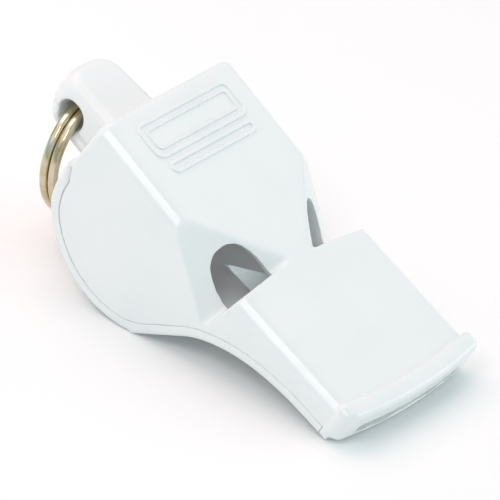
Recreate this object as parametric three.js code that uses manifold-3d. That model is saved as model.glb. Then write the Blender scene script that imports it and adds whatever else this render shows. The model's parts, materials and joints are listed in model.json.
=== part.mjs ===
// A pealess training whistle: two white moulded shells, a grey chamber insert and a windway core
// inside them, and a two-turn split ring hanging from the lug at the rear.
//
// The whistle is drawn in its own frame, in millimetres: +X along the flat top of the mouthpiece
// towards the lips, +Y across, +Z up out of that top. The origin is where the roof meets the
// mouthpiece, on the centre plane. The finished group stands on its belly and its lip.
import * as THREE from "three";
import { mergeVertices } from "three/addons/utils/BufferGeometryUtils.js";
import Module from "manifold-3d";

const wasm = await Module();
wasm.setup();

// ---- driving dimensions, mm ----
const HALF_WIDTH = 10.5;
const WALL = 1.3;
const GAP = 0.3;
const CUT = 40; // reach of a cutter well past the body

const roof = { rearX: -21.5, rearZ: 1.67 };
const belly = { x: -11.8, z: -3.66, radius: 11.2, topZ: -5.44, pastLowest: 0.43 };
// The straight stretch from the belly up to the mouthpiece; its two ends are rounded off.
const chord = { x0: -5.13, z0: -12.15, x1: -1.47, z1: -8.07, round: 0.8 };
const throat = { x: 2.4, z: -5.6 }; // the underside's hollow, behind the neck
const neck = { x: 14, z: -4.3, leadIn: 8 };
const BAND = 1.2; // thickness of the lower shell
const lip = { rearX: 14.3, endX: 16.7, topZ: 0.5, bottomZ: -4.1, halfWidth: 10.9, bow: 0.85 };
const lipToe = { x: 15.3, z: -3.5, radius: 0.6 };
const slot = { halfWidth: 7.7, topZ: -1.4, bottomZ: -2.8 };

// The left notch's sloping face goes through the first three points, and the mouthpiece's rear
// face, which closes it in front, through the last three.
const notch = {
  apex: new THREE.Vector3(-10.5, -HALF_WIDTH, 0.77),
  low: new THREE.Vector3(-1.2, -HALF_WIDTH, -6.2),
  inner: new THREE.Vector3(-1.8, -2, 0),
  shoulder: new THREE.Vector3(0, -HALF_WIDTH, 0),
};
const vent = { along: 5.75, halfWidth: 3, height: 5.2, power: 2.4 };

const lug = { rootX: -20.6, endX: -30.4, topZ: -3.3, endTopZ: -3.6, bottomZ: -9.15, rootBottomZ: -9.5 };
const lugPlan = { rootHalf: 4, endHalf: 3.45, corner: 2.2 };
const hole = { x: -26.6, z: -6.9, radius: 1.6, mouthRadius: 2.05, straightHalf: 2.5 };

const web = { halfWidth: 0.6, frontX: -1.6 };
const chamberFloor = { topZ: -8.4, thickness: 0.9, halfWidth: 8.9, rearX: -19.2, bendX: -6.6, frontX: -1.4 };
const chamberFloorRise = 3.1; // how far the floor climbs from its bend to the windway core
const core = { rearX: -1.0, frontX: 13, halfWidth: 8.3, topZ: -1.6 };
const mouthHalf = core.halfWidth + GAP;
const WINDWAY = 1.0;
const lowerVent = { x0: -3.2, x1: 0.6, halfWidth: 3.4 };

const ring = { meanRadius: 5.85, wireRadius: 0.49, pitch: 1.01, gapAngle: 0.36, startAngle: -0.6 };
const pivot = { x: -26.66, z: -6.95 };
const ringSag = 0.35; // half of the wire's rise inside the lug's hole
const RING_LEAN = 0.08; // the ring hangs this far off plumb, towards the belly

// ---- solids ----
function solid(geometry) {
  const bare = geometry.clone();
  bare.deleteAttribute("normal");
  bare.deleteAttribute("uv");
  const merged = mergeVertices(bare, 1e-4);
  return new wasm.Manifold(
    new wasm.Mesh({
      numProp: 3,
      vertProperties: merged.attributes.position.array,
      triVerts: new Uint32Array(merged.index.array),
    }),
  );
}

function geometryOf(manifold) {
  const { vertProperties, triVerts } = manifold.getMesh();
  const indexed = new THREE.BufferGeometry();
  indexed.setAttribute("position", new THREE.BufferAttribute(vertProperties, 3));
  indexed.setIndex(new THREE.BufferAttribute(triVerts, 1));
  const flat = indexed.toNonIndexed();
  flat.computeVertexNormals();
  return flat;
}

// A side outline (x, z) made into a slab from y0 to y1.
function slab(points, y0, y1) {
  const geometry = new THREE.ExtrudeGeometry(new THREE.Shape(points), {
    depth: y1 - y0,
    bevelEnabled: false,
  });
  return solid(geometry.rotateX(Math.PI / 2).translate(0, y1, 0));
}

// A plan outline (x, y) made into a prism from z0 to z1.
function prism(points, z0, z1) {
  const geometry = new THREE.ExtrudeGeometry(new THREE.Shape(points), {
    depth: z1 - z0,
    bevelEnabled: false,
  });
  return solid(geometry.translate(0, 0, z0));
}

function box(x0, x1, y0, y1, z0, z1) {
  const geometry = new THREE.BoxGeometry(x1 - x0, y1 - y0, z1 - z0);
  return solid(geometry.translate((x0 + x1) / 2, (y0 + y1) / 2, (z0 + z1) / 2));
}

// A channel between two four-cornered sections, each listed round the same way.
function channel(rear, front) {
  const corners = [...rear, ...front].flatMap((p) => [p.x, p.y, p.z]);
  const sides = [0, 1, 2, 3].flatMap((i) => {
    const j = (i + 1) % 4;
    return [i, j, j + 4, i, j + 4, i + 4];
  });
  const ends = [0, 2, 1, 0, 3, 2, 4, 5, 6, 4, 6, 7];
  const geometry = new THREE.BufferGeometry();
  geometry.setAttribute("position", new THREE.Float32BufferAttribute(corners, 3));
  geometry.setIndex([...sides, ...ends]);
  const made = solid(geometry);
  if (made.volume() > 0) return made;
  geometry.setIndex([...sides, ...ends].reverse());
  return solid(geometry);
}

const v2 = (x, y) => new THREE.Vector2(x, y);
const v3 = (x, y, z) => new THREE.Vector3(x, y, z);
const roofZ = (x) => (roof.rearZ * x) / roof.rearX;

// ---- side outlines ----
// The underside from the step on the rear wall, round the belly and up under the mouthpiece.
function undersidePoints() {
  const path = new THREE.Path();
  const start = Math.PI + Math.asin((belly.z - belly.topZ) / belly.radius);
  const end = (3 * Math.PI) / 2 + belly.pastLowest;
  const chordLow = v2(chord.x0, chord.z0);
  const chordHigh = v2(chord.x1, chord.z1);
  const slope = chordHigh.clone().sub(chordLow).normalize();
  const corner = chordLow.clone().addScaledVector(slope, -1.6 * chord.round);
  const chordStart = chordLow.clone().addScaledVector(slope, chord.round);
  const chordEnd = chordHigh.clone().addScaledVector(slope, -1.6 * chord.round);
  const towardsThroat = v2(throat.x, throat.z).sub(chordHigh).normalize();
  const bendEnd = chordHigh.clone().addScaledVector(towardsThroat, 1.7 * chord.round);
  path.absarc(belly.x, belly.z, belly.radius, start, end, false);
  path.quadraticCurveTo(corner.x, corner.y, chordStart.x, chordStart.y);
  path.lineTo(chordEnd.x, chordEnd.y);
  path.quadraticCurveTo(chordHigh.x, chordHigh.y, bendEnd.x, bendEnd.y);
  path.bezierCurveTo(throat.x, throat.z, neck.x - neck.leadIn, neck.z + 0.15, neck.x, neck.z);
  return path.getPoints(10);
}

// The same line moved into the body by a distance.
function movedIn(points, distance) {
  return points.map((p, i) => {
    const before = points[Math.max(i - 1, 0)];
    const after = points[Math.min(i + 1, points.length - 1)];
    const along = after.clone().sub(before).normalize();
    return v2(p.x - along.y * distance, p.y + along.x * distance);
  });
}

const underside = undersidePoints();

function upperOutline() {
  return [
    v2(0, 0),
    v2(roof.rearX, roof.rearZ),
    v2(roof.rearX, belly.topZ + GAP),
    ...movedIn(underside, BAND + GAP),
    v2(neck.x + GAP, neck.z + BAND + GAP),
    v2(neck.x + GAP, neck.z),
    v2(lip.rearX + 0.6, lip.bottomZ),
    v2(lip.rearX + 0.6, 0),
  ];
}

// ---- notches and vents ----
const slopePlane = new THREE.Plane().setFromCoplanarPoints(notch.inner, notch.low, notch.apex);
if (slopePlane.normal.z < 0) slopePlane.negate();
const frontPlane = new THREE.Plane().setFromCoplanarPoints(notch.inner, notch.low, notch.shoulder);
if (frontPlane.normal.x > 0) frontPlane.negate();
const edgeAlong = notch.inner.clone().sub(notch.low).normalize();
const edgeUp = new THREE.Vector3().crossVectors(edgeAlong, slopePlane.normal).normalize();
if (edgeUp.x > 0) edgeUp.negate();

// All the space on the outer side of a plane, moved by a distance against its normal.
function beyond(plane, point, distance) {
  const half = new THREE.BoxGeometry(CUT, CUT, CUT).translate(0, 0, CUT / 2 - distance);
  const turn = new THREE.Quaternion().setFromUnitVectors(v3(0, 0, 1), plane.normal);
  return solid(half.applyQuaternion(turn).translate(point.x, point.y, point.z));
}

// The space of the left notch, grown into the body by a distance.
function notchSpace(distance) {
  const leftHalf = box(-CUT, CUT, -CUT, -0.4, -CUT, CUT);
  return beyond(slopePlane, notch.low, distance)
    .intersect(beyond(frontPlane, notch.low, distance))
    .intersect(leftHalf);
}

// An arch standing on the notch's front edge, cut square through the notch face.
function leftVent() {
  const steps = 14;
  const points = [v2(-vent.halfWidth, -1.2)];
  for (let i = 0; i <= steps; i++) {
    const a = Math.PI * (1 - i / steps);
    const c = Math.cos(a);
    const s = Math.sin(a);
    const bend = 2 / vent.power;
    points.push(
      v2(Math.sign(c) * Math.abs(c) ** bend * vent.halfWidth, Math.abs(s) ** bend * vent.height),
    );
  }
  points.push(v2(vent.halfWidth, -1.2));
  const depth = 3;
  const arch = new THREE.ExtrudeGeometry(new THREE.Shape(points), { depth, bevelEnabled: false });
  arch.translate(0, 0, -depth + 0.8);
  const normal = new THREE.Vector3().crossVectors(edgeAlong, edgeUp);
  const frame = new THREE.Matrix4().makeBasis(edgeAlong, edgeUp, normal);
  const base = notch.low.clone().addScaledVector(edgeAlong, vent.along);
  arch.applyMatrix4(frame).translate(base.x, base.y, base.z);
  return solid(arch);
}

const bothSides = (left) => left.add(left.mirror([0, 1, 0]));
const notches = bothSides(notchSpace(0));
const notchHollows = bothSides(notchSpace(WALL));
const notchWalls = bothSides(notchSpace(WALL + GAP));

// ---- windways ----
// Each outer windway runs from the mouth slot to the front edge of its notch.
function leftWindway() {
  const low = notch.low.clone().addScaledVector(edgeAlong, vent.along - vent.halfWidth + 0.2);
  const high = notch.low.clone().addScaledVector(edgeAlong, vent.along + vent.halfWidth - 0.2);
  const rearX = -2.2;
  const rear = [
    v3(rearX, low.y, low.z - 0.1),
    v3(rearX, high.y, high.z - 0.1),
    v3(rearX, high.y, high.z - 0.1 - WINDWAY),
    v3(rearX, low.y, low.z - 0.1 - WINDWAY),
  ];
  const front = [
    v3(core.frontX + GAP, -slot.halfWidth, slot.topZ),
    v3(core.frontX + GAP, -2.9, slot.topZ),
    v3(core.frontX + GAP, -2.9, slot.bottomZ),
    v3(core.frontX + GAP, -slot.halfWidth, slot.bottomZ),
  ];
  return channel(rear, front);
}

// The middle windway dips to the vent in the lower shell.
function middleWindway() {
  const half = 2.3;
  const rearZ = -6.2;
  const rear = [
    v3(core.rearX - 0.5, -half, rearZ),
    v3(core.rearX - 0.5, half, rearZ),
    v3(core.rearX - 0.5, half, rearZ - WINDWAY),
    v3(core.rearX - 0.5, -half, rearZ - WINDWAY),
  ];
  const front = [
    v3(core.frontX + GAP, -half, slot.topZ),
    v3(core.frontX + GAP, half, slot.topZ),
    v3(core.frontX + GAP, half, slot.bottomZ),
    v3(core.frontX + GAP, -half, slot.bottomZ),
  ];
  return channel(rear, front);
}

const outerWindways = bothSides(leftWindway());

// ---- lug ----
function lugSolid() {
  const side = new THREE.Shape();
  side.moveTo(lug.rootX, lug.topZ);
  side.lineTo(lug.endX + 2.2, lug.endTopZ);
  side.quadraticCurveTo(lug.endX, lug.endTopZ - 0.1, lug.endX, lug.endTopZ - 2.2);
  side.quadraticCurveTo(lug.endX + 0.1, lug.bottomZ + 0.3, lug.endX + 2.8, lug.bottomZ);
  side.lineTo(lug.rootX, lug.rootBottomZ);
  const plan = new THREE.Shape();
  plan.moveTo(lug.rootX, -lugPlan.rootHalf);
  plan.lineTo(lug.rootX, lugPlan.rootHalf);
  plan.lineTo(lug.endX + lugPlan.corner, lugPlan.endHalf);
  plan.quadraticCurveTo(lug.endX, lugPlan.endHalf, lug.endX, lugPlan.endHalf - lugPlan.corner);
  plan.lineTo(lug.endX, lugPlan.corner - lugPlan.endHalf);
  plan.quadraticCurveTo(lug.endX, -lugPlan.endHalf, lug.endX + lugPlan.corner, -lugPlan.endHalf);
  return slab(side.getPoints(8), -HALF_WIDTH, HALF_WIDTH).intersect(
    prism(plan.getPoints(6), -CUT, CUT),
  );
}

function lugHole() {
  const flare = HALF_WIDTH / 2;
  const mouth = lugPlan.rootHalf;
  const profile = [
    v2(0, -flare),
    v2(hole.mouthRadius, -flare),
    v2(hole.mouthRadius, -mouth),
    v2(hole.radius, -hole.straightHalf),
    v2(hole.radius, hole.straightHalf),
    v2(hole.mouthRadius, mouth),
    v2(hole.mouthRadius, flare),
    v2(0, flare),
  ];
  return solid(new THREE.LatheGeometry(profile, 28).translate(hole.x, 0, hole.z));
}

// ---- the pieces ----
// A bowed front end, seen from above, that trims the lip.
function lipTrim() {
  const plan = new THREE.Shape();
  plan.moveTo(-CUT, -CUT / 2);
  plan.lineTo(lip.endX - lip.bow, -CUT / 2);
  plan.lineTo(lip.endX - lip.bow, -lip.halfWidth);
  plan.quadraticCurveTo(lip.endX + lip.bow, 0, lip.endX - lip.bow, lip.halfWidth);
  plan.lineTo(lip.endX - lip.bow, CUT / 2);
  plan.lineTo(-CUT, CUT / 2);
  return prism(plan.getPoints(10), -CUT, CUT);
}

function upperShell() {
  const lipRear = lip.rearX + 0.3;
  const lipOutline = new THREE.Shape();
  lipOutline.moveTo(lipRear, 0);
  lipOutline.quadraticCurveTo(lipRear + 0.2, lip.topZ, lipRear + 0.9, lip.topZ);
  lipOutline.lineTo(lip.endX, lip.topZ);
  lipOutline.lineTo(lip.endX, lipToe.z + 0.4);
  lipOutline.lineTo(lipToe.x + lipToe.radius, lipToe.z);
  lipOutline.absarc(lipToe.x, lipToe.z, lipToe.radius, 0, -Math.PI / 2, true);
  lipOutline.lineTo(lipRear, lipToe.z - lipToe.radius);
  const lipBar = slab(lipOutline.getPoints(5), -lip.halfWidth, lip.halfWidth);
  const outer = slab(upperOutline(), -HALF_WIDTH, HALF_WIDTH)
    .add(lipBar)
    .intersect(lipTrim())
    .subtract(notches);

  const inner = HALF_WIDTH - WALL;
  const chamber = slab(
    [
      v2(core.rearX, roofZ(core.rearX) - WALL),
      v2(roof.rearX + WALL, roof.rearZ - WALL),
      v2(roof.rearX + WALL, -CUT / 2),
      v2(core.rearX, -CUT / 2),
    ],
    -inner,
    inner,
  );
  const mouth = box(core.rearX - 0.1, core.frontX + GAP, -mouthHalf, mouthHalf, -CUT / 2, core.topZ + GAP);
  const mouthSlot = box(core.frontX, CUT, -slot.halfWidth, slot.halfWidth, slot.bottomZ, slot.topZ);
  const hollow = chamber
    .add(mouth)
    .subtract(notchHollows)
    .add(mouthSlot)
    .add(outerWindways)
    .add(bothSides(leftVent()));
  return outer.add(lugSolid()).subtract(lugHole()).subtract(hollow);
}

function lowerShell() {
  const inside = movedIn(underside, BAND).reverse();
  const lugRoom = lugPlan.rootHalf + GAP;
  return slab([...underside, ...inside], -HALF_WIDTH, HALF_WIDTH)
    .subtract(box(-CUT, belly.x, -lugRoom, lugRoom, lug.rootBottomZ - GAP, 0))
    .subtract(
      box(lowerVent.x0, lowerVent.x1, -lowerVent.halfWidth, lowerVent.halfWidth, -CUT / 2, -3),
    );
}

// A web down the middle on a floor that splits the side chambers from the one below.
function chamberInsert() {
  const top = (x) => roofZ(x) - WALL - GAP;
  const rearX = roof.rearX + WALL + GAP;
  const bottomZ = chamberFloor.topZ - chamberFloor.thickness;
  const webOutline = [
    v2(web.frontX, top(web.frontX)),
    v2(rearX, top(rearX)),
    v2(rearX, belly.topZ),
    v2(chamberFloor.rearX, bottomZ),
    v2(chamberFloor.bendX, bottomZ),
    v2(web.frontX, bottomZ + chamberFloorRise),
  ];
  const floorOutline = [
    v2(chamberFloor.rearX, chamberFloor.topZ),
    v2(chamberFloor.rearX, bottomZ),
    v2(chamberFloor.bendX, bottomZ),
    v2(chamberFloor.frontX, bottomZ + chamberFloorRise),
    v2(chamberFloor.frontX, chamberFloor.topZ + chamberFloorRise),
    v2(chamberFloor.bendX, chamberFloor.topZ),
  ];
  const floorPlate = slab(floorOutline, -chamberFloor.halfWidth, chamberFloor.halfWidth);
  return slab(webOutline, -web.halfWidth, web.halfWidth).add(floorPlate).subtract(notchWalls);
}

function windwayCore() {
  const bottom = movedIn(underside, BAND + GAP).filter((p) => p.x > core.rearX && p.x < core.frontX);
  const outline = [v2(core.frontX, core.topZ), v2(core.rearX, core.topZ), ...bottom];
  outline.push(v2(core.frontX, bottom[bottom.length - 1].y));
  return slab(outline, -core.halfWidth, core.halfWidth)
    .subtract(notchWalls)
    .subtract(outerWindways)
    .subtract(middleWindway());
}

// Two turns of wire side by side, with one crossing where a turn steps over to the next.
class SplitRingCurve extends THREE.Curve {
  getPoint(t, target = new THREE.Vector3()) {
    const sweep = 4 * Math.PI - 2 * ring.gapAngle;
    const angle = ring.gapAngle + sweep * t;
    const step = THREE.MathUtils.smoothstep(
      angle,
      2 * Math.PI - ring.gapAngle,
      2 * Math.PI + ring.gapAngle,
    );
    const around = angle + ring.startAngle;
    return target.set(
      (step - 0.5) * ring.pitch,
      ring.meanRadius * Math.cos(around),
      ring.meanRadius * Math.sin(around),
    );
  }
}

function splitRingGeometry() {
  const section = new THREE.Shape();
  section.absarc(0, 0, ring.wireRadius, 0, 2 * Math.PI, false);
  const wire = new THREE.ExtrudeGeometry(section, {
    steps: 88,
    curveSegments: 5,
    bevelEnabled: false,
    extrudePath: new SplitRingCurve(),
  });
  return wire.translate(0, 0, ringSag - ring.meanRadius);
}

// ---- assembly ----
const whitePlastic = () =>
  new THREE.MeshStandardMaterial({ color: 0xeef2f1, roughness: 0.22, metalness: 0 });
const greyPlastic = () =>
  new THREE.MeshStandardMaterial({ color: 0x5e6062, roughness: 0.3, metalness: 0 });
const steel = new THREE.MeshStandardMaterial({ color: 0xb9b4a8, roughness: 0.14, metalness: 1 });

function piece(name, made, material) {
  const mesh = new THREE.Mesh(made.isBufferGeometry ? made : geometryOf(made), material);
  mesh.name = name;
  return mesh;
}

// Down is the way that the belly and the lip's toe touch the same floor.
const toToe = v2(lipToe.x - belly.x, lipToe.z - belly.z);
const downAngle = toToe.angle() - Math.acos((belly.radius - lipToe.radius) / toToe.length());
const lean = Math.PI / 2 + downAngle;

const whistle = new THREE.Group();
whistle.rotation.y = lean;
whistle.add(piece("upper_shell", upperShell(), whitePlastic()));
whistle.add(piece("lower_shell", lowerShell(), whitePlastic()));
whistle.add(piece("chamber_insert", chamberInsert(), greyPlastic()));
whistle.add(piece("windway_core", windwayCore(), whitePlastic()));

// The ring hangs free from the lug, clear of the floor.
const splitRing = new THREE.Group();
splitRing.rotation.y = -RING_LEAN;
splitRing.position.set(pivot.x, 0, pivot.z).applyAxisAngle(v3(0, 1, 0), lean);
splitRing.add(piece("split_ring", splitRingGeometry(), steel));

const assembly = new THREE.Group();
assembly.add(whistle, splitRing);
assembly.updateMatrixWorld(true);
const bounds = new THREE.Box3().setFromObject(assembly, true);
const middle = bounds.getCenter(new THREE.Vector3());
assembly.position.set(-middle.x, -middle.y, -bounds.min.z);

export default assembly;
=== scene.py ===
import json
import math

import bmesh
import bpy
import numpy as np
from mathutils import Matrix, Vector


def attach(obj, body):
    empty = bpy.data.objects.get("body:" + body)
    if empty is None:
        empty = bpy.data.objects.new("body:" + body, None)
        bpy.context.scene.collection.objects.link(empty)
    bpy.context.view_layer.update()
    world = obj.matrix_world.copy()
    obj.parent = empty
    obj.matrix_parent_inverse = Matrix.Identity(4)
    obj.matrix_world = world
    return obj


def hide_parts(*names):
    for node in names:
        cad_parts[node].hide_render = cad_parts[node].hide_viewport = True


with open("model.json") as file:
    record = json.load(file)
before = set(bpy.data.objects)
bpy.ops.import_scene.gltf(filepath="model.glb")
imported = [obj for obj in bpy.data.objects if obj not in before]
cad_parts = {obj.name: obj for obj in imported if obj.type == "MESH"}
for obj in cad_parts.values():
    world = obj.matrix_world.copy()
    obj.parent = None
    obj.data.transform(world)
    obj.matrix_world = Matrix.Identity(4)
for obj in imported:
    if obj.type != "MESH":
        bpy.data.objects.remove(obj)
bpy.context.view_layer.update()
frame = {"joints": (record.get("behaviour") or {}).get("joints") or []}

MM = 0.001

# ---- driving dimensions, mm ----
HALF_WIDTH = 10.5
WALL = 1.3
BAND = 1.2  # thickness of the lower shell
SEAM = 0.05  # half of the fine gap between the two shells
GAP = 0.3

ROOF_REAR_X, ROOF_REAR_Z = -21.5, 1.67
BELLY_X, BELLY_Z, BELLY_RADIUS, BELLY_TOP_Z = -11.8, -3.66, 11.2, -5.44
BELLY_PAST_LOWEST = 0.43
CHORD_LOW = np.array([-5.13, -12.15])
CHORD_HIGH = np.array([-1.47, -8.07])
CHORD_ROUND = 0.8
BELLY_CORNER = 0.6  # how softly the belly turns into the straight stretch
THROAT = np.array([2.4, -5.6])
NECK = np.array([14.0, -4.3])
NECK_LEAD_IN = 8.0

CHAMFER, CHAMFER_ROUND = 1.0, 0.3  # the flat edge along the roof's and the mouthpiece's sides
BELLY_ROUND = 0.6  # fillet along the belly's sides
REAR_ROUND = 0.8
BEVEL_START, BEVEL_SLOPE = 8.5, 0.10  # the top falls away a little before its side fillet

LIP_END_X, LIP_HALF, LIP_BOW, LIP_ROUND = 16.7, 10.8, 0.85, 0.6
LIP_TOP_Z, LIP_REAR_X = 0.5, 14.65
TOE_X, TOE_Z = 15.3, -3.5
LIP_FRONT_LOW_Z = -2.9
SLOT_HALF, SLOT_TOP_Z, SLOT_BOTTOM_Z, SLOT_REAR_X = 8.1, -1.75, -2.75, 8.0

NOTCH_APEX = np.array([-10.5, -HALF_WIDTH, 0.77])
NOTCH_LOW = np.array([-1.2, -HALF_WIDTH, -6.2])
NOTCH_INNER = np.array([-0.95, -1.45, 0.0])
NOTCH_SHOULDER = np.array([0.0, -HALF_WIDTH, 0.0])
VENT_ALONG, VENT_HALF, VENT_HEIGHT, VENT_POWER = 5.8, 2.7, 5.3, 2.4

LUG_ROOT_X, LUG_END_X = -20.6, -30.4
LUG_TOP_Z, LUG_END_TOP_Z, LUG_BOTTOM_Z, LUG_ROOT_BOTTOM_Z = -3.3, -3.6, -9.15, -9.5
LUG_ROOT_HALF, LUG_END_HALF = 4.0, 3.45
HOLE_X, HOLE_Z, HOLE_RADIUS = -26.6, -6.9, 1.64

CORE_REAR_X, CORE_FRONT_X, CORE_HALF, CORE_TOP_Z = -1.0, 13.0, 8.3, -1.6
FLOOR_TOP_Z, FLOOR_THICK, FLOOR_HALF, FLOOR_RISE = -8.4, 0.9, 8.9, 3.1
FLOOR_REAR_X, FLOOR_BEND_X, FLOOR_FRONT_X = -19.2, -6.6, -1.4
WEB_HALF, WEB_FRONT_X = 0.6, -1.6
TONGUE_REACH, TONGUE_BASE = 2.6, 2.2
TONGUE_DEPTH, TONGUE_HALF_THICK, TONGUE_FOOT = 1.8, 0.3, 0.6
VENT_LOW_X0, VENT_LOW_X1, VENT_LOW_HALF = -3.2, 0.6, 3.4

RING_RADIUS, WIRE_RADIUS, RING_PITCH = 5.85, 0.49, 1.01
RING_GAP_ANGLE, RING_START_ANGLE, RING_SAG = 0.36, -0.6, 0.35
RING_LEAN = 0.08  # the ring hangs this far off plumb, towards the belly
PIVOT_X, PIVOT_Z = -26.66, -6.95


# ---- smaller roundings and clearances, mm ----
MOULD_ROUND = 0.12  # the edges where two mouldings meet
CORE_ROUND = 0.3
NOTCH_ROUND, NOTCH_INNER_ROUND = 0.7, 0.3  # along the bottom of the V, outside and inside
CAVITY_ROUND = 0.5
LIP_END_ROUND = 1.2
LUG_TOP_ROUND, LUG_BOTTOM_ROUND, LUG_PLAN_ROUND, LUG_EDGE_ROUND = 1.9, 3.2, 3.0, 1.15
HOLE_ROUND = 0.45

# ---- the whistle's place in the model's frame ----
def standing_lean():
    """How far the whistle leans forward to stand on its belly and its lip's toe."""
    toe = np.array([TOE_X - BELLY_X, TOE_Z - BELLY_Z])
    away = math.atan2(toe[1], toe[0])
    down = away - math.acos((BELLY_RADIUS - LIP_ROUND) / np.hypot(*toe))
    return math.pi / 2 + down


LEAN = standing_lean()
LEAN_MATRIX = np.array(
    [[math.cos(LEAN), 0, math.sin(LEAN)], [0, 1, 0], [-math.sin(LEAN), 0, math.cos(LEAN)]]
)
ring_pivot = np.array(frame["joints"][0]["pos_m"]) / MM
WHISTLE_ORIGIN = ring_pivot - LEAN_MATRIX @ np.array([PIVOT_X, 0, PIVOT_Z])


def stand(points):
    """Points of the whistle's own frame, in mm, in the model's frame, in metres."""
    return (np.asarray(points) @ LEAN_MATRIX.T + WHISTLE_ORIGIN) * MM


# ---- signed distances ----
def round_union(a, b, r):
    return np.maximum(r, np.minimum(a, b)) - np.hypot(np.maximum(r - a, 0), np.maximum(r - b, 0))


def round_both(a, b, r):
    """Where both hold, with the edge between them rounded."""
    return -round_union(-a, -b, r)


def smooth_union(a, b, width):
    """A union that blends two nearly parallel faces."""
    h = np.maximum(width - np.abs(a - b), 0) / width
    return np.minimum(a, b) - h * h * width / 4


def polygon_distance(x, z, corners):
    x, z = np.broadcast_arrays(x, z)
    nearest = np.full(x.shape, np.inf)
    inside = np.zeros(x.shape, bool)
    for (x0, z0), (x1, z1) in zip(corners, np.roll(corners, -1, axis=0)):
        ex, ez = x1 - x0, z1 - z0
        px, pz = x - x0, z - z0
        t = np.clip((px * ex + pz * ez) / (ex * ex + ez * ez), 0, 1)
        nearest = np.minimum(nearest, (px - ex * t) ** 2 + (pz - ez * t) ** 2)
        if z0 != z1:
            crosses = ((z0 > z) != (z1 > z)) & (px < ex * pz / ez)
            inside ^= crosses
    return np.where(inside, -1, 1) * np.sqrt(nearest)


def quadratic(p0, p1, p2, steps):
    t = np.linspace(0, 1, steps + 1)[:, None]
    return (1 - t) ** 2 * p0 + 2 * t * (1 - t) * p1 + t**2 * p2


def cubic(p0, p1, p2, p3, steps):
    t = np.linspace(0, 1, steps + 1)[:, None]
    return (1 - t) ** 3 * p0 + 3 * t * (1 - t) ** 2 * p1 + 3 * t**2 * (1 - t) * p2 + t**3 * p3


def unit(v):
    return v / np.linalg.norm(v)


# The lower shell's rear end slopes from its tip on the rear wall down into the side.
BAND_TIP = np.array([-21.4, -4.45])
BAND_CORNER = np.array([-20.55, -6.32])
BAND_TIP_Z, BAND_REAR_X, BAND_END_X, BAND_EXTRA = -4.7, -21.95, -19.6, 0.85
CHORD_SLOPE = unit(CHORD_HIGH - CHORD_LOW)
FAR = 100.0


def above_chord_and_throat():
    """The region above the straight stretch, the throat and the neck, with far-off closing corners."""
    chord_end = CHORD_HIGH - 1.6 * CHORD_ROUND * CHORD_SLOPE
    bend_end = CHORD_HIGH + 1.7 * CHORD_ROUND * unit(THROAT - CHORD_HIGH)
    lead_in = NECK + np.array([-NECK_LEAD_IN, 0.15])
    start = CHORD_LOW - FAR * CHORD_SLOPE
    return np.vstack(
        [
            [start],
            quadratic(chord_end, CHORD_HIGH, bend_end, 10)[:-1],
            cubic(bend_end, THROAT, lead_in, NECK, 26),
            [[FAR, NECK[1]], [FAR, FAR], [start[0], FAR]],
        ]
    )


ABOVE_THROAT = above_chord_and_throat()


def under(x, z):
    """Distance out through the underside: the belly's circle, then the line up to the neck."""
    circle = np.hypot(x - BELLY_X, z - BELLY_Z) - BELLY_RADIUS
    sine, cosine = math.sin(BELLY_PAST_LOWEST), math.cos(BELLY_PAST_LOWEST)
    ahead = -((x - BELLY_X) * cosine + (z - BELLY_Z) * sine)
    over_step = np.maximum(BELLY_TOP_Z - z, x - BELLY_X)
    belly = np.minimum(circle, np.minimum(ahead, over_step))
    return -smooth_union(-belly, -polygon_distance(x, z, ABOVE_THROAT), BELLY_CORNER)


def top(x, y, z):
    """Distance out through the roof and the mouthpiece's top."""
    roof = z - ROOF_REAR_Z * x / ROOF_REAR_X
    fall = BEVEL_SLOPE * np.maximum(np.abs(y) - BEVEL_START, 0)
    return smooth_union(z, roof, 0.3) + fall


def plane_through(a, b, c, towards):
    normal = unit(np.cross(b - a, c - a))
    return normal * np.sign(normal @ towards), a


SLOPE_FACE = plane_through(NOTCH_INNER, NOTCH_LOW, NOTCH_APEX, np.array([0, 0, 1]))
FRONT_FACE = plane_through(NOTCH_INNER, NOTCH_LOW, NOTCH_SHOULDER, np.array([-1, 0, 0]))
NOTCH_ALONG = unit(NOTCH_INNER - NOTCH_LOW)
NOTCH_UP = unit(np.cross(NOTCH_ALONG, SLOPE_FACE[0]))
NOTCH_UP = -NOTCH_UP if NOTCH_UP[0] > 0 else NOTCH_UP


def over_plane(plane, x, y, z):
    """Height over a plane of the left side, for points of both sides."""
    normal, point = plane
    return normal[0] * (x - point[0]) + normal[1] * (-np.abs(y) - point[1]) + normal[2] * (z - point[2])


def outside_notch(x, y, z, round_bottom):
    """Negative outside the notches, with the bottom of their V rounded."""
    return round_union(over_plane(SLOPE_FACE, x, y, z), over_plane(FRONT_FACE, x, y, z), round_bottom)


def vent(x, y, z):
    """An arch standing on the notch's front edge, cut square through the notch's slope."""
    px, py, pz = x - NOTCH_LOW[0], -np.abs(y) - NOTCH_LOW[1], z - NOTCH_LOW[2]
    along = NOTCH_ALONG[0] * px + NOTCH_ALONG[1] * py + NOTCH_ALONG[2] * pz - VENT_ALONG
    up = NOTCH_UP[0] * px + NOTCH_UP[1] * py + NOTCH_UP[2] * pz
    u = np.abs(along) / VENT_HALF
    v = np.maximum(up, 0) / VENT_HEIGHT
    size = np.maximum((u**VENT_POWER + v**VENT_POWER) ** (1 / VENT_POWER), 1e-6)
    slope = np.hypot(
        (u / size) ** (VENT_POWER - 1) / VENT_HALF, (v / size) ** (VENT_POWER - 1) / VENT_HEIGHT
    )
    arch = (size - 1) / np.maximum(slope, 0.05)
    depth = -over_plane(SLOPE_FACE, x, y, z)
    return np.maximum(np.maximum(arch, -1.1 - up), np.abs(depth - 1.2) - 2.0)


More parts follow.
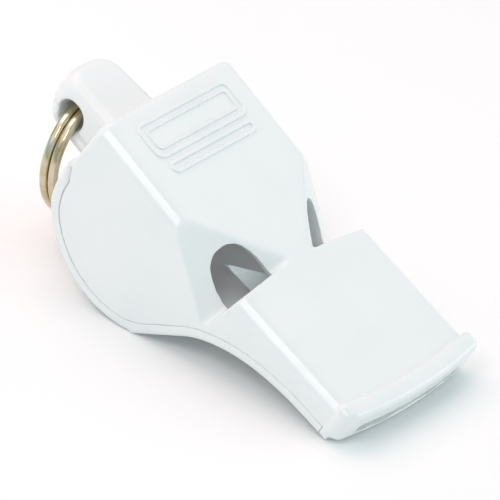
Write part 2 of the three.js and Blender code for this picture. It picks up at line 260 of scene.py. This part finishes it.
def windway(x, y, z):
    """Each outer windway, from the mouth slot back to the front edge of its vent."""
    low = NOTCH_LOW + (VENT_ALONG - VENT_HALF + 0.2) * NOTCH_ALONG
    high = NOTCH_LOW + (VENT_ALONG + VENT_HALF - 0.2) * NOTCH_ALONG
    rear_x, front_x = -2.2, CORE_FRONT_X + GAP
    f = np.clip((x - rear_x) / (front_x - rear_x), 0, 1)
    outer_y = -low[1] * (1 - f) + SLOT_HALF * f
    inner_y = -high[1] * (1 - f) + 2.9 * f
    across = np.clip((outer_y - np.abs(y)) / (outer_y - inner_y), 0, 1)
    rear_top = low[2] + across * (high[2] - low[2]) - 0.1
    top_z = rear_top * (1 - f) + SLOT_TOP_Z * f
    height = 1.0 * (1 - f) + (SLOT_TOP_Z - SLOT_BOTTOM_Z) * f
    sides = np.maximum(np.abs(y) - outer_y, inner_y - np.abs(y))
    flat = np.maximum(z - top_z, top_z - height - z)
    return np.maximum(round_both(sides, flat, 0.2), np.maximum(rear_x - x, x - front_x))


def lug(x, y, z):
    f = (x - LUG_ROOT_X) / (LUG_END_X - LUG_ROOT_X)
    top_z = LUG_TOP_Z + f * (LUG_END_TOP_Z - LUG_TOP_Z)
    bottom_z = LUG_ROOT_BOTTOM_Z + f * (LUG_BOTTOM_Z - LUG_ROOT_BOTTOM_Z)
    rear = LUG_END_X - x
    upper = round_both(z - top_z, rear, LUG_TOP_ROUND)
    lower = round_both(bottom_z - z, rear, LUG_BOTTOM_ROUND)
    side = round_both(upper, lower, 0.3)
    above_foot = z - bottom_z
    groove = 0.22 * np.clip(1.6 - np.abs(above_foot - 1.6) / 0.3, 0, 1)
    half = LUG_ROOT_HALF + f * (LUG_END_HALF - LUG_ROOT_HALF) - groove
    plan = round_both(np.abs(y) - half, rear, LUG_PLAN_ROUND)
    body = round_both(side, plan, LUG_EDGE_ROUND)
    hole = np.hypot(x - HOLE_X, z - HOLE_Z) - HOLE_RADIUS
    return np.maximum(round_both(body, -hole, HOLE_ROUND), x - LUG_ROOT_X)


def lip(x, y, z):
    """The bar across the mouthpiece's end: a grown outline, bowed in plan."""
    outline = np.array(
        [
            [LIP_REAR_X + LIP_ROUND, LIP_TOP_Z - LIP_ROUND],
            [LIP_END_X - LIP_ROUND, LIP_TOP_Z - LIP_ROUND],
            [LIP_END_X - LIP_ROUND, LIP_FRONT_LOW_Z],
            [TOE_X, TOE_Z],
            [LIP_REAR_X + LIP_ROUND, TOE_Z],
        ]
    )
    bowed = x + LIP_BOW * (y / LIP_HALF) ** 2
    section = polygon_distance(bowed, z, outline) - LIP_ROUND
    return round_both(section, np.abs(y) - LIP_HALF, LIP_END_ROUND)


def cavity(x, y, z):
    """The hollow inside the upper shell, open below."""
    inner = HALF_WIDTH - WALL
    chamber = round_both(np.abs(y) - inner, top(x, 0 * y, z) + WALL, CAVITY_ROUND)
    chamber = round_both(chamber, ROOF_REAR_X + WALL - x, CAVITY_ROUND)
    chamber = np.maximum(chamber, x - CORE_REAR_X)
    mouth = np.maximum(np.abs(y) - CORE_HALF - GAP, z - CORE_TOP_Z - GAP)
    mouth = np.maximum(mouth, np.maximum(CORE_REAR_X - 0.1 - x, x - CORE_FRONT_X - GAP))
    both = np.minimum(chamber, mouth)
    return np.maximum(both, outside_notch(x, y, z, NOTCH_INNER_ROUND) + WALL)


def slot(x, y, z):
    middle = (SLOT_TOP_Z + SLOT_BOTTOM_Z) / 2
    half = (SLOT_TOP_Z - SLOT_BOTTOM_Z) / 2
    section = round_both(np.abs(y) - SLOT_HALF, np.abs(z - middle) - half, 0.3)
    return np.maximum(section, SLOT_REAR_X - x)


def band(x, z):
    """Thickness of the lower shell, which grows towards its rear end."""
    rise = np.clip((z + 10.5) / 4.2, 0, 1) ** 1.5 * np.clip((-15 - x) / 3, 0, 1)
    return BAND + BAND_EXTRA * rise


def past_band_end(x, z):
    """Distance past the lower shell's sloping rear end."""
    along = unit(BAND_CORNER - BAND_TIP)
    slope = -along[1] * (x - BAND_TIP[0]) + along[0] * (z - BAND_TIP[1])
    return np.minimum(np.maximum(slope, z - BAND_TIP_Z), BAND_END_X - x)


def seam(x):
    """Half of the fine gap between the shells, which closes up towards the mouthpiece."""
    return SEAM * np.clip((-4 - x) / 12, 0.3, 1)


def lower_zone(x, z):
    """Negative where the lower shell and the fine gap round it lie."""
    inner = np.maximum(-under(x, z) - band(x, z) - seam(x), past_band_end(x, z) - SEAM)
    return np.maximum(inner, x - NECK[0] - SEAM / 2)


def chamfered(a, b, leg, r):
    """Where both hold, with a flat edge between them whose own two edges are rounded."""
    cut = (a + b + leg) / math.sqrt(2)
    return round_both(round_both(a, b, 0.05), cut, r)


def upper_shell(x, y, z):
    body = chamfered(top(x, y, z), np.abs(y) - HALF_WIDTH, CHAMFER, CHAMFER_ROUND)
    rear_round = REAR_ROUND * np.clip((z + 6.5) / 5, 0.2, 1)
    body = round_both(body, ROOF_REAR_X - x, rear_round)
    body = np.maximum(round_both(body, under(x, z), BELLY_ROUND), x - LIP_REAR_X - 0.3)
    body = round_both(body, -lower_zone(x, z), MOULD_ROUND)
    body = round_union(body, lip(x, y, z), 0.22)
    body = round_both(body, outside_notch(x, y, z, NOTCH_ROUND), 0.22)
    body = round_union(body, lug(x, y, z), 0.2)
    hollow = np.minimum(cavity(x, y, z), np.minimum(windway(x, y, z), slot(x, y, z)))
    return round_both(round_both(body, -hollow, 0.15), -vent(x, y, z), MOULD_ROUND)


def lower_shell(x, y, z):
    outer = round_both(under(x, z), BAND_REAR_X - x, 1.2)
    outer = round_both(outer, past_band_end(x, z) + SEAM, 0.25)
    outer = round_both(outer, np.abs(y) - HALF_WIDTH, BELLY_ROUND)
    body = round_both(outer, seam(x) - under(x, z) - band(x, z), MOULD_ROUND)
    body = round_both(body, x - NECK[0] + SEAM / 2, MOULD_ROUND)
    lug_half = LUG_ROOT_HALF + GAP
    below_lug = np.maximum(LUG_ROOT_BOTTOM_Z - GAP - z, x - BELLY_X)
    lug_room = np.maximum(np.abs(y) - lug_half, below_lug)
    vent_x = np.abs(x - (VENT_LOW_X0 + VENT_LOW_X1) / 2) - (VENT_LOW_X1 - VENT_LOW_X0) / 2
    low_vent = round_both(vent_x, np.abs(y) - VENT_LOW_HALF, 0.6)
    return round_both(round_both(body, -lug_room, MOULD_ROUND), -low_vent, 0.2)


def chamber_insert(x, y, z):
    bottom = FLOOR_TOP_Z - FLOOR_THICK
    rise = FLOOR_RISE * np.clip((x - FLOOR_BEND_X) / (FLOOR_FRONT_X - FLOOR_BEND_X), 0, 1.1)
    floor = np.maximum(z - FLOOR_TOP_Z - rise, bottom + rise - z)
    floor = np.maximum(floor, np.maximum(FLOOR_REAR_X - x, x - FLOOR_FRONT_X))
    floor = round_both(floor, np.abs(y) - FLOOR_HALF, 0.25)
    roof_gap = top(x, 0 * y, z) + WALL + GAP
    foot = bottom + rise + np.maximum(FLOOR_REAR_X - x, 0) * 1.5
    web = np.maximum(np.maximum(roof_gap, foot - z), ROOF_REAR_X + WALL + GAP - x)
    web = np.maximum(web, x - WEB_FRONT_X)
    web = round_both(web, np.abs(y) - WEB_HALF, 0.2)
    both = round_union(web, floor, 0.5)
    return np.maximum(both, outside_notch(x, y, z, NOTCH_INNER_ROUND) + WALL + GAP)


def windway_core(x, y, z):
    block = round_both(z - CORE_TOP_Z, under(x, z) + BAND + GAP, CORE_ROUND)
    block = round_both(block, np.maximum(CORE_REAR_X - x, x - CORE_FRONT_X), CORE_ROUND)
    block = round_both(block, np.abs(y) - CORE_HALF, CORE_ROUND)
    block = np.maximum(block, outside_notch(x, y, z, NOTCH_INNER_ROUND) + WALL + GAP)
    block = round_both(block, -windway(x, y, z), MOULD_ROUND)
    return np.minimum(block, vent_tongue(x, y, z))


def vent_tongue(x, y, z):
    """A thin tapering tongue under each vent's inner front corner, clear of the block and the shell."""
    px, py, pz = x - NOTCH_LOW[0], -np.abs(y) - NOTCH_LOW[1], z - NOTCH_LOW[2]
    along = NOTCH_ALONG[0] * px + NOTCH_ALONG[1] * py + NOTCH_ALONG[2] * pz
    up = NOTCH_UP[0] * px + NOTCH_UP[1] * py + NOTCH_UP[2] * pz
    reach = TONGUE_REACH * (VENT_ALONG + VENT_HALF - along) / TONGUE_BASE
    depth = -over_plane(SLOPE_FACE, x, y, z)
    outer_edge = VENT_ALONG + VENT_HALF - TONGUE_BASE - 0.17 * up
    plan = np.maximum(up - reach, outer_edge - along)
    thickness = np.abs(depth - TONGUE_DEPTH) - TONGUE_HALF_THICK
    return np.maximum(round_both(plan, thickness, MOULD_ROUND), -TONGUE_FOOT - up)


# ---- meshing ----
SHARP_ANGLE = 32  # degrees
CORNER_PULL = 0.02
MAX_SHIFT = 0.7  # of a cell


def corner_solve(normals, offsets, middle, pull):
    """The point nearest every plane of each cell, held a little towards the crossings' middle."""
    a = normals + pull * np.eye(3)
    b = offsets + pull * middle
    return np.linalg.solve(a, b[:, :, None])[:, :, 0]


def contour(distance, low, high, cell):
    """Dual contouring: a vertex in each cell that the surface crosses, set on any sharp edge there."""
    low, high = np.array(low, float), np.array(high, float)
    count = np.ceil((high - low) / cell).astype(int) + 1
    ax, ay, az = (low[i] + cell * np.arange(count[i]) for i in range(3))
    field = distance(ax[:, None, None], ay[None, :, None], az[None, None, :])
    inside = np.broadcast_to(field, count) < 0
    cells = count + 1  # one more on each side keeps the neighbours' indices in range
    total = int(np.prod(cells))
    stride = np.array([cells[1] * cells[2], cells[2], 1])
    sums = np.zeros((total, 16))
    quads = []
    for axis in range(3):
        first = np.take(inside, range(count[axis] - 1), axis)
        second = np.take(inside, range(1, count[axis]), axis)
        index = np.argwhere(first != second)
        leaving = first[tuple(index.T)]
        start = low + cell * index
        end = start.copy()
        end[:, axis] += cell
        point = crossing(distance, start, end, leaving)
        normal = gradient(distance, point)
        outer = (normal[:, :, None] * normal[:, None, :]).reshape(-1, 9)
        along = normal * np.sum(normal * point, axis=1)[:, None]
        row = np.hstack([outer, along, point, np.ones((len(point), 1))])
        b, c = (axis + 1) % 3, (axis + 2) % 3
        base = (index + 1) @ stride
        around = [base - stride[b] - stride[c], base - stride[c], base, base - stride[b]]
        for corner in around:
            for k in range(16):
                sums[:, k] += np.bincount(corner, row[:, k], total)
        ring = np.stack(around, axis=1)
        quads.append(np.where(leaving[:, None], ring, ring[:, ::-1]))
    used = np.flatnonzero(sums[:, 15])
    share = sums[used, 15][:, None]
    middle = sums[used, 12:15] / share
    normals = (sums[used, :9] / share).reshape(-1, 3, 3)
    vertex = corner_solve(normals, sums[used, 9:12] / share, middle, CORNER_PULL)
    shift = np.clip(vertex - middle, -MAX_SHIFT * cell, MAX_SHIFT * cell)
    place = np.zeros(total, int)
    place[used] = np.arange(len(used))
    return middle + shift, place[np.vstack(quads)]


def crossing(distance, start, end, leaving):
    """Where each grid edge meets the surface, by bisection steered with a straight line."""
    low_t = np.zeros(len(start))
    high_t = np.ones(len(start))
    low_f = distance(*start.T)
    high_f = distance(*end.T)
    t = low_f / (low_f - high_f)
    for _ in range(3):
        value = distance(*(start + t[:, None] * (end - start)).T)
        same = (value < 0) == leaving
        low_t, low_f = np.where(same, t, low_t), np.where(same, value, low_f)
        high_t, high_f = np.where(same, high_t, t), np.where(same, high_f, value)
        t = low_t + (high_t - low_t) * low_f / np.where(low_f == high_f, 1, low_f - high_f)
    return start + t[:, None] * (end - start)


def gradient(distance, point):
    step = 2e-3
    parts = []
    for axis in range(3):
        offset = np.zeros(3)
        offset[axis] = step
        parts.append(distance(*(point + offset).T) - distance(*(point - offset).T))
    normal = np.stack(parts, axis=1)
    return normal / np.maximum(np.linalg.norm(normal, axis=1), 1e-12)[:, None]


def mesh_object(name, vertices, faces, material):
    """A mesh in the model's frame from points in metres and faces of equal length."""
    faces = np.asarray(faces)
    mesh = bpy.data.meshes.new(name)
    mesh.vertices.add(len(vertices))
    mesh.vertices.foreach_set("co", np.asarray(vertices, np.float32).ravel())
    mesh.loops.add(faces.size)
    mesh.loops.foreach_set("vertex_index", faces.astype(np.int32).ravel())
    mesh.polygons.add(len(faces))
    mesh.polygons.foreach_set("loop_start", np.arange(0, faces.size, faces.shape[1], dtype=np.int32))
    mesh.update(calc_edges=True)
    mesh.validate()
    mesh.shade_smooth()
    mesh.set_sharp_from_angle(angle=math.radians(SHARP_ANGLE))
    mesh.materials.append(material)
    made = bpy.data.objects.new(name, mesh)
    bpy.context.scene.collection.objects.link(made)
    return made


def moulding(name, distance, low, high, cell, material, node):
    """A moulded piece on the whistle's body, from its signed distance."""
    points, faces = contour(distance, low, high, cell)
    made = mesh_object(name, stand(points), faces, material)
    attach(made, "whistle")
    if node:
        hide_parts(node)
    return made


# ---- materials ----
class Nodes:
    """Short calls for building one material's node tree."""

    def __init__(self, name):
        self.material = bpy.data.materials.new(name)
        self.material.use_nodes = True
        self.tree = self.material.node_tree
        self.shader = self.tree.nodes["Principled BSDF"]
        self.place = self.tree.nodes.new("ShaderNodeTexCoord").outputs["Object"]

    def link(self, out, into):
        self.tree.links.new(out, into)

    def add(self, kind, **values):
        node = self.tree.nodes.new(kind)
        for key, value in values.items():
            if hasattr(node, key):
                setattr(node, key, value)
            else:
                node.inputs[key.replace("_", " ")].default_value = value
        return node

    def noise(self, scale, detail=3.0, stretch=None, source=None):
        """Noise with its scale in cycles per metre."""
        vector = source or self.place
        if stretch:
            mapping = self.add("ShaderNodeMapping")
            mapping.inputs["Scale"].default_value = stretch
            self.link(vector, mapping.inputs["Vector"])
            vector = mapping.outputs["Vector"]
        node = self.add("ShaderNodeTexNoise", Scale=scale, Detail=detail)
        self.link(vector, node.inputs["Vector"])
        return node.outputs["Fac"]

    def spread(self, value, low, high, start=0.3, end=0.7):
        node = self.add("ShaderNodeMapRange")
        for key, number in (("From Min", start), ("From Max", end), ("To Min", low), ("To Max", high)):
            node.inputs[key].default_value = number
        self.link(value, node.inputs["Value"])
        return node.outputs["Result"]

    def tones(self, value, stops):
        node = self.add("ShaderNodeValToRGB")
        ramp = node.color_ramp.elements
        while len(ramp) < len(stops):
            ramp.new(0.5)
        for element, (position, colour) in zip(ramp, stops):
            element.position = position
            element.color = (*colour, 1)
        self.link(value, node.inputs["Fac"])
        return node.outputs["Color"]

    def bumps(self, *layers):
        """Bump layers of (height, distance in mm, strength), one on another."""
        normal = None
        for height, distance, strength in layers:
            bump = self.add("ShaderNodeBump", Strength=strength)
            bump.inputs["Distance"].default_value = distance * MM
            self.link(height, bump.inputs["Height"])
            if normal:
                self.link(normal, bump.inputs["Normal"])
            normal = bump.outputs["Normal"]
        self.link(normal, self.shader.inputs["Normal"])


def moulded_plastic(name, pale, shade, roughness):
    """Glossy moulded plastic: faint flow clouds, a fine skin, a few hairline scuffs."""
    n = Nodes(name)
    clouds = n.noise(160, 4)
    n.link(n.tones(clouds, [(0.3, shade), (0.7, pale)]), n.shader.inputs["Base Color"])
    skin = n.noise(5200, 2)
    scuffs = n.noise(900, 5, stretch=(0.25, 1, 3.4))
    grade = n.add("ShaderNodeMath", operation="ADD")
    n.link(n.spread(skin, -0.02, 0.02), grade.inputs[0])
    n.link(n.spread(scuffs, roughness[0], roughness[1]), grade.inputs[1])
    n.link(grade.outputs[0], n.shader.inputs["Roughness"])
    n.bumps((n.noise(420, 2), 0.012, 0.35), (skin, 0.0012, 0.5), (scuffs, 0.0010, 0.4))
    n.shader.inputs["Specular IOR Level"].default_value = 0.5
    n.shader.inputs["IOR"].default_value = 1.5
    return n.material


def drawn_steel():
    """Bright plated wire, with drawing lines along it and a brownish film in places."""
    n = Nodes("ring_steel")
    along = n.add("ShaderNodeUVMap", uv_map="along_wire").outputs["UV"]
    lines = n.noise(30, 3, stretch=(0.25, 1, 1), source=along)
    film = n.noise(450, 4)
    tones = [(0.25, (0.42, 0.32, 0.14)), (0.5, (0.62, 0.55, 0.38)), (0.8, (0.74, 0.72, 0.66))]
    n.link(n.tones(film, tones), n.shader.inputs["Base Color"])
    n.link(n.spread(lines, 0.1, 0.26), n.shader.inputs["Roughness"])
    n.bumps((lines, 0.004, 0.5), (n.noise(3000, 3), 0.0015, 0.4))
    n.shader.inputs["Metallic"].default_value = 1.0
    return n.material


# ---- the ring ----
def wire_point(angle):
    """Centre of the wire in the ring's own frame, mm: the coil's axis is X."""
    rise = np.clip((angle - 2 * math.pi + RING_GAP_ANGLE) / (2 * RING_GAP_ANGLE), 0, 1)
    step = rise * rise * (3 - 2 * rise)
    around = angle + RING_START_ANGLE
    return np.stack(
        [
            (step - 0.5) * RING_PITCH,
            RING_RADIUS * np.cos(around),
            RING_RADIUS * np.sin(around) + RING_SAG - RING_RADIUS,
        ],
        axis=-1,
    )


def split_ring(material):
    """Two turns of slightly flattened wire, with domed and chamfered ends."""
    steps, sides = 420, 26
    angle = np.linspace(RING_GAP_ANGLE, 4 * math.pi - RING_GAP_ANGLE, steps)
    centre = wire_point(angle)
    tangent = np.gradient(centre, axis=0)
    tangent /= np.linalg.norm(tangent, axis=1)[:, None]
    outward = np.stack(
        [0 * angle, np.cos(angle + RING_START_ANGLE), np.sin(angle + RING_START_ANGLE)], axis=1
    )
    across = np.cross(tangent, outward)
    end = 0.35 / RING_RADIUS  # each end tapers over this angle
    from_end = np.minimum(angle - angle[0], angle[-1] - angle) / end
    taper = np.sqrt(np.clip(1 - (1 - np.clip(from_end, 0, 1)) ** 2, 0.12, 1))
    turn = np.linspace(0, 2 * math.pi, sides, endpoint=False)
    flat = 2 / 2.5  # a superellipse: rounder than a square, flatter than a circle
    u = np.sign(np.cos(turn)) * np.abs(np.cos(turn)) ** flat
    v = np.sign(np.sin(turn)) * np.abs(np.sin(turn)) ** flat
    scale = WIRE_RADIUS * 0.965 * taper[:, None, None]
    points = centre[:, None] + scale * (
        across[:, None] * u[None, :, None] + outward[:, None] * v[None, :, None]
    )
    grid = np.arange(steps * sides).reshape(steps, sides)
    nxt = np.roll(grid, -1, axis=1)
    faces = np.stack([grid[:-1], nxt[:-1], nxt[1:], grid[1:]], axis=-1).reshape(-1, 4)
    cosine, sine = math.cos(RING_LEAN), math.sin(RING_LEAN)
    turned = np.array([[cosine, 0, -sine], [0, 1, 0], [sine, 0, cosine]])
    placed = (points.reshape(-1, 3) @ turned.T + ring_pivot) * MM
    ring = mesh_object("split_ring_wire", placed, faces[:, ::-1], material)
    wrap = ring.data.uv_layers.new(name="along_wire")
    index = np.empty(len(ring.data.loops), int)
    ring.data.loops.foreach_get("vertex_index", index)
    row, column = index // sides, index % sides
    wrap.data.foreach_set("uv", np.stack([row / 40, column / sides], axis=1).astype(np.float32).ravel())
    close_ends(ring)
    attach(ring, "ring")
    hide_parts("split_ring")
    return ring


def close_ends(piece):
    """Caps the open loops of a tube."""
    body = bmesh.new()
    body.from_mesh(piece.data)
    open_edges = [e for e in body.edges if e.is_boundary]
    bmesh.ops.holes_fill(body, edges=open_edges, sides=0)
    bmesh.ops.recalc_face_normals(body, faces=body.faces)
    body.to_mesh(piece.data)
    body.free()


# ---- the roof's plain relief ----
RELIEF_HEIGHT, RELIEF_LINE = 0.16, 0.34
RELIEF_X, BAR_X = -17.6, -14.3


def rounded_frame(x, y, centre, half, corner):
    """Distance from the middle of a rounded rectangle's outline."""
    dx = np.abs(x - centre[0]) - half[0] + corner
    dy = np.abs(y - centre[1]) - half[1] + corner
    outside = np.hypot(np.maximum(dx, 0), np.maximum(dy, 0))
    return np.abs(outside + np.minimum(np.maximum(dx, dy), 0) - corner)


def roof_relief(x, y, z):
    """A plain double frame and a bar, raised from the roof, with no characters."""
    big = rounded_frame(x, y, (RELIEF_X, 0), (1.9, 7.0), 0.9) - RELIEF_LINE / 2
    small = rounded_frame(x, y, (RELIEF_X, 0), (1.1, 6.2), 0.5) - RELIEF_LINE / 3
    bar = rounded_frame(x, y, (BAR_X, 0), (0.5, 6.4), 0.5) - RELIEF_LINE / 2
    plan = np.minimum(np.minimum(big, small), bar)
    height = top(x, 0 * y, z)
    return np.maximum(round_both(plan, height - RELIEF_HEIGHT, 0.09), -height - 0.12)


# ---- the pieces ----
WHITE, WHITE_SHADE = (0.86, 0.88, 0.88), (0.83, 0.86, 0.86)
shell_plastic = moulded_plastic("shell_plastic", WHITE, WHITE_SHADE, (0.16, 0.26))
core_plastic = moulded_plastic(
    "core_plastic", (0.78, 0.82, 0.82), (0.73, 0.78, 0.78), (0.2, 0.32)
)
# The insert's grey is painted shade: a grey stand-in for the shadowed inside of the chamber seen
# through the vents.
insert_plastic = moulded_plastic(
    "insert_plastic", (0.62, 0.62, 0.63), (0.56, 0.56, 0.57), (0.3, 0.45)
)
# A faint glow evens out the grey seen through the vents. It isn't a property of the plastic.
insert_shader = insert_plastic.node_tree.nodes["Principled BSDF"]
insert_shader.inputs["Emission Color"].default_value = (1, 1, 1, 1)
insert_shader.inputs["Emission Strength"].default_value = 0.08

COARSE = 1.0
SHELL_CELL, INNER_CELL, RELIEF_CELL = 0.24 * COARSE, 0.3 * COARSE, 0.1 * COARSE
moulding(
    "upper_shell_moulding", upper_shell, (-30.9, -11.3, -14.4), (17.2, 11.3, 2.2), SHELL_CELL,
    shell_plastic, "upper_shell",
)
moulding(
    "lower_shell_moulding", lower_shell, (-23.4, -10.9, -15.3), (14.6, 10.9, -2.5), SHELL_CELL,
    shell_plastic, "lower_shell",
)
moulding(
    "chamber_insert_moulding", chamber_insert, (-20.4, -9.3, -9.8), (-0.9, 9.3, 0.7), INNER_CELL,
    insert_plastic, "chamber_insert",
)
moulding(
    "windway_core_moulding", windway_core, (-5.5, -8.7, -8.3), (13.4, 8.7, -0.6), INNER_CELL,
    core_plastic, "windway_core",
)
moulding(
    "roof_relief", roof_relief, (-20.2, -7.7, 0.2), (-13.2, 7.7, 2.2), RELIEF_CELL,
    shell_plastic, None,
)
split_ring(drawn_steel())


# ---- studio ----
VIEW_AZIMUTH, VIEW_ELEVATION, VIEW_ROLL = 31.2, 31.4, 11.2  # degrees
AIM = np.array([-6.04, 3.38, -7.33])  # mm, in the whistle's own frame
FRAME_WIDTH = 48.3 * MM
LENS, SENSOR = 600.0, 36.0
LIGHT_DISTANCE = 0.3  # m
FLOOR_EXTENT = 1.5  # m, from the middle to each edge


def add_camera():
    azimuth, elevation = math.radians(VIEW_AZIMUTH), math.radians(VIEW_ELEVATION)
    back = Vector(
        (
            math.sin(azimuth) * math.cos(elevation),
            -math.cos(azimuth) * math.cos(elevation),
            math.sin(elevation),
        )
    )
    data = bpy.data.cameras.new("camera")
    data.lens, data.sensor_width = LENS, SENSOR
    data.clip_start, data.clip_end = 0.01, 20
    camera = bpy.data.objects.new("camera", data)
    bpy.context.scene.collection.objects.link(camera)
    aim = Vector(stand(AIM))
    camera.location = aim + back * (FRAME_WIDTH * LENS / SENSOR)
    facing = back.to_track_quat("Z", "Y").to_matrix().to_4x4()
    roll = Matrix.Rotation(math.radians(VIEW_ROLL), 4, "Z")
    camera.matrix_world = Matrix.Translation(camera.location) @ facing @ roll
    bpy.context.scene.camera = camera


def add_softbox(name, direction, size, power, colour):
    """A square soft light, facing the whistle from a direction."""
    data = bpy.data.lights.new(name, "AREA")
    data.size, data.energy, data.color = size, power, colour
    light = bpy.data.objects.new(name, data)
    bpy.context.scene.collection.objects.link(light)
    away = Vector(direction).normalized()
    light.location = away * LIGHT_DISTANCE
    light.rotation_euler = away.to_track_quat("Z", "Y").to_euler()


def add_world(colour, strength):
    world = bpy.data.worlds.new("studio")
    bpy.context.scene.world = world
    world.use_nodes = True
    background = world.node_tree.nodes["Background"]
    background.inputs["Color"].default_value = (*colour, 1)
    background.inputs["Strength"].default_value = strength


def add_floor():
    n = Nodes("studio_floor")
    tones = [(0.3, (0.94, 0.94, 0.94)), (0.7, (0.96, 0.96, 0.96))]
    n.link(n.tones(n.noise(30, 2), tones), n.shader.inputs["Base Color"])
    n.shader.inputs["Roughness"].default_value = 0.9
    half = FLOOR_EXTENT
    corners = [(-half, -half, 0), (half, -half, 0), (half, half, 0), (-half, half, 0)]
    floor = mesh_object("studio_floor", corners, [[0, 1, 2, 3]], n.material)


add_camera()
add_floor()
add_softbox("key", (-0.44, -0.52, 0.73), 0.25, 0.15, (1.0, 0.68, 0.66))
add_softbox("overhead", (-0.45, 0.1, 0.9), 0.3, 0.42, (1.0, 0.62, 0.6))
add_softbox("front", (0.75, 0.85, 0.1), 0.25, 0.45, (1.0, 0.9, 0.9))
add_softbox("glint", (0.106, -0.653, 0.749), 0.08, 0.13, (1.0, 0.95, 0.95))
add_world((0.66, 0.84, 0.86), 0.75)
bpy.context.scene.view_settings.view_transform = "Standard"
